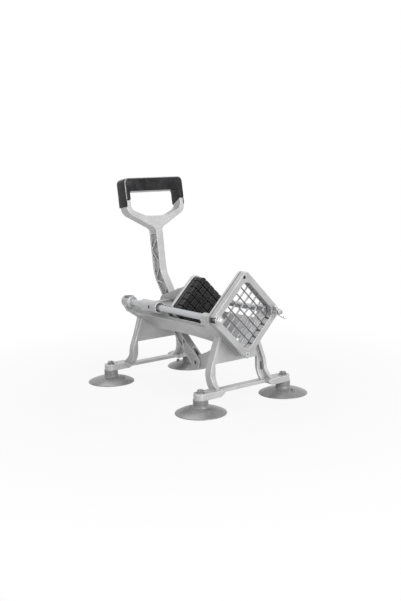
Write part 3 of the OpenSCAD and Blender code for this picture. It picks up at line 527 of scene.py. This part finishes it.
def highlighted_grip():
    """Black grip plastic, with a painted highlight along its rounded corners."""
    look = bpy.context.scene.fry_moulding
    material, tree, shader, place = new_material("Grip moulding", 0.0, specular=0.2)
    bloom = group_node(tree, "Bloom", {"Vector": place, "Size": 55.0})
    edge = group_node(tree, "Soft Edge", {"Radius": 0.0006})
    turn = Matrix.Rotation(HANDLE_LEAN, 3, "X")
    own_axes = add_node(tree, "ShaderNodeMapping", {"Vector": place, "Rotation": (HANDLE_LEAN, 0.0, 0.0),
        "Location": -(turn @ HANDLE_AT)}).outputs[0]
    gleam = group_node(tree, "Corner Gleam", {"Vector": own_axes, "Half": GRIP_HALF, "Top": GRIP_TOP,
        "Corner": look.grip_corner, "Front": GRIP_FRONT, "Back": GRIP_BACK})
    plastic = mixed(tree, bloom["Bloom"], shade(look.grip_colour, 0.8), shade(look.grip_colour, 3.0))
    # Painted highlight: a grey line along the rounded corners, uneven with the bloom.
    patchy_highlight = maths(tree, "MULTIPLY", gleam["Gleam"], remap(tree, bloom["Bloom"], 0, 1, 0.95, 0.55))
    plastic = mixed(tree, patchy_highlight, plastic, (0.5, 0.5, 0.5, 1.0))
    rough = remap(tree, bloom["Bloom"], 0, 1, 0.16, 0.30)
    finish_surface(tree, shader, plastic, rough, bloom["Speckle"], 0.00003, edge["Normal"])
    return material


def soft_cup():
    """Soft grey plastic of the suction cups, with a painted highlight along their edges."""
    look = bpy.context.scene.fry_moulding
    material, tree, shader, place = new_material("Soft cup", 0.0, specular=0.6)
    bloom = group_node(tree, "Bloom", {"Vector": place, "Size": 45.0})
    edge = group_node(tree, "Soft Edge", {"Radius": 0.0007})
    soft = mixed(tree, bloom["Bloom"], shade(look.cup_colour, 0.88), shade(look.cup_colour, 1.18))
    # Painted highlight: edges lightened towards 1.7 times the cup colour.
    soft = laid_over(tree, soft, shade(look.cup_colour, 1.7), edge["Edge"], 0.4)
    rough = remap(tree, bloom["Bloom"], 0, 1, 0.22, 0.40)
    finish_surface(tree, shader, soft, rough, bloom["Speckle"], 0.00006, edge["Normal"])
    return material


# ------------------------------------------------------------------ modelling helpers

def leave_edit():
    """Goes back to object mode, which writes the edits to the mesh."""
    bpy.ops.object.mode_set(mode="OBJECT")


def deselect_all():
    """Leaves edit mode if need be, and deselects every object."""
    if bpy.context.object and bpy.context.object.mode != "OBJECT":
        leave_edit()
    bpy.ops.object.select_all(action="DESELECT")


def pick(piece):
    """Selects one object alone and makes it the active one."""
    deselect_all()
    piece.select_set(True)
    bpy.context.view_layer.objects.active = piece


def apply_place(piece):
    """Moves an object's place, turn and size into its mesh."""
    pick(piece)
    bpy.ops.object.transform_apply(location=True, rotation=True, scale=True)


def apply_modifiers(piece):
    """Turns a piece's modifiers into mesh, in their order."""
    pick(piece)
    for modifier in list(piece.modifiers):
        bpy.ops.object.modifier_apply(modifier=modifier.name)


def edit_all(piece):
    """Opens a piece in edit mode with all of it selected."""
    pick(piece)
    bpy.ops.object.mode_set(mode="EDIT")
    bpy.ops.mesh.select_all(action="SELECT")


def edit_edges(piece, wanted):
    """Opens a piece in edit mode with only those edges selected whose two ends pass the test."""
    pick(piece)
    bpy.ops.object.mode_set(mode="EDIT")
    bpy.ops.mesh.select_mode(type="EDGE")
    bpy.ops.mesh.select_all(action="DESELECT")
    leave_edit()
    vertices = piece.data.vertices
    for edge in piece.data.edges:
        edge.select = wanted(*[vertices[i].co for i in edge.vertices])
    bpy.ops.object.mode_set(mode="EDIT")


def settle(piece, name, body, material, replaced=()):
    """Names and paints a finished piece, and hands it to its body."""
    piece.name = name
    piece.data.name = name
    piece.data.materials.clear()
    piece.data.materials.append(material)
    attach(piece, body)
    if replaced:
        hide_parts(*replaced)


def add_block(low, high):
    """A box between two corners, as the start of a piece."""
    deselect_all()
    middle = (Vector(low) + Vector(high)) / 2
    bpy.ops.mesh.primitive_cube_add(size=1.0, location=middle)
    block = bpy.context.object
    block.scale = Vector(high) - Vector(low)
    apply_place(block)
    return block


def round_top_corners(block, top, radius, segments):
    """Rounds the two edges that run from front to back along a block's top."""
    edit_edges(block, lambda a, b: min(a.z, b.z) > top - SAME_PLACE and abs(a.x - b.x) < SAME_PLACE)
    bpy.ops.mesh.bevel(offset=radius, segments=segments, profile=0.5, affect="EDGES")
    leave_edit()


def add_bevel(piece, width, segments):
    """A modifier that rounds edges, under the name that all of them carry."""
    bevel = piece.modifiers.new("round over", "BEVEL")
    bevel.width = width
    bevel.segments = segments
    return bevel


def recalculate(piece):
    """Merges doubles and turns the faces outwards."""
    edit_all(piece)
    bpy.ops.mesh.remove_doubles(threshold=SAME_PLACE)
    bpy.ops.mesh.normals_make_consistent(inside=False)
    leave_edit()


# ------------------------------------------------------------------ operators

class FRY_OT_finishes(bpy.types.Operator):
    """Builds the shared effects that the materials use"""
    bl_idname = "fry.finishes"
    bl_label = "Build shared effects"

    def execute(self, context):
        for build in (soft_edge_group, recess_shade_group, joint_shadow_group, cast_grain_group, rub_marks_group,
            screw_thread_group, bloom_group, corner_gleam_group):
            build()
        return {"FINISHED"}


class FRY_OT_castings(bpy.types.Operator):
    """Finishes the stands, chutes, blade frame, carriage, lever and link as cast aluminium"""
    bl_idname = "fry.castings"
    bl_label = "Finish castings"

    def execute(self, context):
        paint(CASTINGS, cast_aluminium("Cast aluminium", 1.0))
        paint(["blade_frame"], cast_aluminium("Cast blade frame", 0.86))
        return {"FINISHED"}


class FRY_OT_steel(bpy.types.Operator):
    """Finishes the rods and the two layers of blades"""
    bl_idname = "fry.steel"
    bl_label = "Finish rods and blades"

    def execute(self, context):
        look = context.scene.fry_steel
        paint(RODS, plated_rod())
        # Painted shade: the front blades take a darker copy of the same blade steel.
        darker = [channel * 0.55 for channel in look.blade_colour]
        paint(FRONT_BLADES, ground_blade("Shaded front blade steel", darker, math.radians(45)))
        paint(REAR_BLADES, ground_blade("Rear blade steel", look.blade_colour, math.radians(-45)))
        return {"FINISHED"}


class FRY_OT_hardware(bpy.types.Operator):
    """Finishes nuts, washers, screws and pins"""
    bl_idname = "fry.hardware"
    bl_label = "Finish hardware"

    def execute(self, context):
        look = context.scene.fry_steel
        paint(BRIGHT, plated_hardware("Bright plating", look.bright_colour, 0.22))
        paint(["foot_nuts"], plated_hardware("Zinc plating", look.zinc_colour, 0.26))
        paint(DARK, plated_hardware("Dark plating", look.dark_colour, 0.34))
        paint(["foot_screws"], threaded_foot_screw())
        return {"FINISHED"}


class FRY_OT_mouldings(bpy.types.Operator):
    """Finishes the studded block, the bushes, the suction cups and the lining of the grip"""
    bl_idname = "fry.mouldings"
    bl_label = "Finish mouldings"

    def execute(self, context):
        look = context.scene.fry_moulding
        paint(["grip_cover"], moulded_black("Grip lining", look.grip_colour,
            radius=0.0006, gloss=0.24, relief=0.00004, shine=0.10))
        paint(["pusher_block"], moulded_black("Pusher moulding", look.block_colour,
            radius=0.0009, gloss=0.22, relief=0.00004, shine=0.24))
        paint(["sleeve_bushes"], moulded_black("Bush moulding", look.bush_colour,
            radius=0.0004, gloss=0.35, relief=0.00003, shine=0.06))
        paint(CUPS, soft_cup())
        return {"FINISHED"}


def add_thread(side, start, turns, pitch):
    """A helical ridge round the front end of a rod, from its start forwards."""
    deselect_all()
    bpy.ops.mesh.primitive_plane_add(size=0.001)
    ridge = bpy.context.object
    edit_all(ridge)
    bpy.ops.mesh.delete(type="ONLY_FACE")
    leave_edit()
    foot, crest = STUD_RADIUS - THREAD_SUNK, STUD_RADIUS + THREAD_RISE
    low, high = [pitch * share for share in THREAD_CREST]
    corners = [(foot, 0.0, 0.0), (crest, 0.0, low), (foot, 0.0, pitch), (crest, 0.0, high)]
    for vertex, corner in zip(ridge.data.vertices, corners):
        vertex.co = corner
    edit_edges(ridge, lambda a, b: abs(a.z - b.z) > high)
    bpy.ops.mesh.delete(type="EDGE")
    leave_edit()
    wind = ridge.modifiers.new("wind", "SCREW")
    wind.axis = "Z"
    wind.screw_offset = pitch
    wind.iterations = turns
    wind.steps = wind.render_steps = 32
    wind.use_merge_vertices = True
    wind.merge_threshold = SAME_PLACE
    apply_modifiers(ridge)
    edit_all(ridge)
    bpy.ops.mesh.remove_doubles(threshold=SAME_PLACE)
    bpy.ops.mesh.fill_holes(sides=0)
    leave_edit()
    ridge.rotation_euler = (math.radians(90), 0, 0)
    ridge.location = (side * ROD_OUT, start, ROD_HEIGHT)
    apply_place(ridge)
    recalculate(ridge)
    return ridge


class FRY_OT_threads(bpy.types.Operator):
    """Winds the threads that show in the head's corner slots and past the wing nut"""
    bl_idname = "fry.threads"
    bl_label = "Model threads"

    def execute(self, context):
        look = context.scene.fry_steel
        steel = plated_hardware("Thread steel", look.thread_colour, 0.25)
        for name, side, start, turns in THREADS:
            ridge = add_thread(side, start, turns, look.thread_pitch)
            settle(ridge, name, "stand", steel)
        return {"FINISHED"}


def grip_body(corner, rounding):
    """The bar and legs of the grip round the finger window, cut off below at a slant."""
    body = add_block((-GRIP_HALF, GRIP_FRONT, GRIP_LOW - OVERSHOOT), (GRIP_HALF, GRIP_BACK, GRIP_TOP))
    round_top_corners(body, GRIP_TOP, corner, 8)
    bar_low = GRIP_TOP - GRIP_BAR_HEIGHT
    window = add_block((-FINGER_HALF, GRIP_FRONT - OVERSHOOT, GRIP_LOW - 2 * OVERSHOOT),
        (FINGER_HALF, GRIP_BACK + OVERSHOOT, bar_low))
    round_top_corners(window, bar_low, FINGER_CORNER, 5)
    hole = body.modifiers.new("window", "BOOLEAN")
    hole.operation = "DIFFERENCE"
    hole.solver = "EXACT"
    hole.object = window
    apply_modifiers(body)
    bpy.data.objects.remove(window)
    edit_all(body)
    slant = Vector((0, END_SLANT, GRIP_BACK - GRIP_FRONT)).normalized()
    bpy.ops.mesh.bisect(plane_co=(0, GRIP_BACK, GRIP_LOW), plane_no=slant, use_fill=True, clear_inner=True)
    leave_edit()
    bevel = add_bevel(body, rounding, 4)
    bevel.limit_method = "ANGLE"
    bevel.angle_limit = math.radians(40)
    apply_modifiers(body)
    return body


def grip_cheek(side):
    """A thin cheek that runs level down the outer side of one leg of the handle."""
    left, right = sorted((side * CHEEK_INSIDE, side * CHEEK_OUTSIDE))
    cheek = add_block((left, CHEEK_FRONT, GRIP_LOW), (right, CHEEK_BACK, GRIP_LOW + CHEEK_RISE))
    add_bevel(cheek, CHEEK_ROUND, 3)
    apply_modifiers(cheek)
    return cheek


class FRY_OT_grip(bpy.types.Operator):
    """Models the moulded grip with rounded corners, cut at a slant over the legs of the handle"""
    bl_idname = "fry.grip"
    bl_label = "Model grip"

    def execute(self, context):
        look = context.scene.fry_moulding
        body = grip_body(look.grip_corner, look.grip_radius)
        cheeks = [grip_cheek(side) for side in (-1, 1)]
        pick(body)
        for cheek in cheeks:
            cheek.select_set(True)
        bpy.ops.object.join()
        body.location = HANDLE_AT
        body.rotation_euler = (-HANDLE_LEAN, 0, 0)
        apply_place(body)
        recalculate(body)
        bpy.ops.object.shade_smooth_by_angle(angle=math.radians(35))
        settle(body, "moulded_grip", "lever", highlighted_grip(), ["grip_cover"])
        return {"FINISHED"}


def seen_directly(tree):
    """One for rays from the camera, off a glossy surface or through glass, and nought for the rest."""
    rays = tree.nodes.new("ShaderNodeLightPath").outputs
    return maths(tree, "MAXIMUM", maths(tree, "MAXIMUM", rays["Is Camera Ray"], rays["Is Glossy Ray"]),
        rays["Is Transmission Ray"])


def pale_floor():
    """Floor that takes the object's shadow, seen nearly white by the camera and in reflections."""
    look = bpy.context.scene.fry_stage
    material, tree, shader, place = new_material("Pale floor", 0.0, specular=0.0)
    shader.inputs["Roughness"].default_value = 0.9
    drift = add_node(tree, "ShaderNodeTexNoise", {"Vector": place, "Scale": 3.0, "Detail": 2.0})
    colour = mixed(tree, drift.outputs[0], shade(look.floor_colour, 0.995), shade(look.floor_colour, 1.005))
    tree.links.new(colour, shader.inputs["Base Color"])
    far = add_node(tree, "ShaderNodeVectorMath", {0: place}, operation="LENGTH").outputs["Value"]
    glow = remap(tree, far, *SHADOW_END, look.floor_glow, 1.0)
    white = add_node(tree, "ShaderNodeEmission", {"Color": (1, 1, 1, 1), "Strength": 1.0})
    blend = add_node(tree, "ShaderNodeMixShader", {0: maths(tree, "MULTIPLY", seen_directly(tree), glow)})
    tree.links.new(shader.outputs[0], blend.inputs[1])
    tree.links.new(white.outputs[0], blend.inputs[2])
    tree.links.new(blend.outputs[0], tree.nodes["Material Output"].inputs["Surface"])
    return material


def add_lamp(name, spot, aim, width, height, power):
    """A soft rectangular lamp that shines from its spot at its aim."""
    deselect_all()
    bpy.ops.object.light_add(type="AREA", location=spot)
    lamp = bpy.context.object
    lamp.name = name
    lamp.data.shape = "RECTANGLE"
    lamp.data.size = width
    lamp.data.size_y = height
    lamp.data.energy = power
    lamp.rotation_euler = (Vector(aim) - Vector(spot)).to_track_quat("-Z", "Y").to_euler()


def light_room(scene, strength):
    """Even white room: bright where it is seen, and only as strong as given where it lights the object."""
    scene.world = bpy.data.worlds.new("even room")
    scene.world.use_nodes = True
    tree = scene.world.node_tree
    background = tree.nodes["Background"].inputs
    background["Color"].default_value = (1, 1, 1, 1)
    feed(tree, background["Strength"], remap(tree, seen_directly(tree), 0, 1, strength, 1.0))


def camera_matrix():
    """Place and turn of the camera that took the photograph."""
    back = Vector((math.sin(VIEW_AZIMUTH) * math.cos(VIEW_HEIGHT),
        -math.cos(VIEW_AZIMUTH) * math.cos(VIEW_HEIGHT), math.sin(VIEW_HEIGHT)))
    right = (-back).cross(Vector((0, 0, 1))).normalized()
    up = right.cross(-back)
    across = right * math.cos(VIEW_ROLL) + up * math.sin(VIEW_ROLL)
    upward = up * math.cos(VIEW_ROLL) - right * math.sin(VIEW_ROLL)
    turn = Matrix((across, upward, back)).transposed()
    return Matrix.Translation(VIEW_AIM + VIEW_DISTANCE * back) @ turn.to_4x4()


def add_camera(scene, lens):
    """Adds the photograph's camera, and makes it the one that the scene renders with."""
    deselect_all()
    bpy.ops.object.camera_add()
    camera = bpy.context.object
    camera.name = "photo camera"
    camera.matrix_world = camera_matrix()
    camera.data.sensor_width = 36.0
    camera.data.sensor_fit = "AUTO"
    camera.data.lens = lens
    camera.data.clip_end = 50.0
    scene.camera = camera


class FRY_OT_stage(bpy.types.Operator):
    """Adds the floor, the soft lights, the even room and the camera"""
    bl_idname = "fry.stage"
    bl_label = "Build stage"

    def execute(self, context):
        look = context.scene.fry_stage
        deselect_all()
        bpy.ops.mesh.primitive_plane_add(size=14.0, location=(0.0, 0.0, 0.0))
        floor = context.object
        floor.name = "floor"
        floor.data.materials.append(pale_floor())
        add_lamp("key light", (0.2, -2.1, 1.7), (0, 0, 0.14), 1.6, 1.4, look.key_power)
        add_lamp("fill light", (-2.2, -0.4, 0.9), (0, 0, 0.14), 1.2, 1.6, look.fill_power)
        add_lamp("low front light", (-0.7, -2.3, 0.25), (0, 0, 0.10), 1.0, 0.5, look.low_power)
        add_lamp("strip light", (-2.2, -0.42, 0.45), (0, 0, 0.25), 0.12, 1.7, look.strip_power)
        add_lamp("top light", (-0.2, 0.9, 2.3), (0, 0, 0.15), 1.8, 1.4, look.top_power)
        light_room(context.scene, look.room_light)
        add_camera(context.scene, look.lens)
        context.scene.view_settings.view_transform = "Standard"
        return {"FINISHED"}


STEPS = ["finishes", "castings", "steel", "hardware", "mouldings", "grip", "threads", "stage"]


class FRY_PT_panel(bpy.types.Panel):
    bl_idname = "FRY_PT_panel"
    bl_label = "Fry Cutter"
    bl_space_type = "VIEW_3D"
    bl_region_type = "UI"
    bl_category = "Fry Cutter"

    def draw(self, context):
        layout = self.layout
        for attribute, group in SETTINGS.items():
            box = layout.box()
            for name in group.__annotations__:
                box.prop(getattr(context.scene, attribute), name)
        for step in STEPS:
            layout.operator("fry." + step)


SETTINGS = {"fry_casting": CastingSettings, "fry_steel": SteelSettings, "fry_moulding": MouldingSettings,
    "fry_stage": StageSettings}
CLASSES = [*SETTINGS.values(), FRY_OT_finishes, FRY_OT_castings, FRY_OT_steel, FRY_OT_hardware,
    FRY_OT_mouldings, FRY_OT_grip, FRY_OT_threads, FRY_OT_stage, FRY_PT_panel]


def register():
    for each in CLASSES:
        bpy.utils.register_class(each)
    for attribute, group in SETTINGS.items():
        setattr(bpy.types.Scene, attribute, PointerProperty(type=group))


def unregister():
    for attribute in SETTINGS:
        delattr(bpy.types.Scene, attribute)
    for each in reversed(CLASSES):
        bpy.utils.unregister_class(each)


def main():
    register()
    for step in STEPS:
        getattr(bpy.ops.fry, step)()


if __name__ == "__main__":
    main()
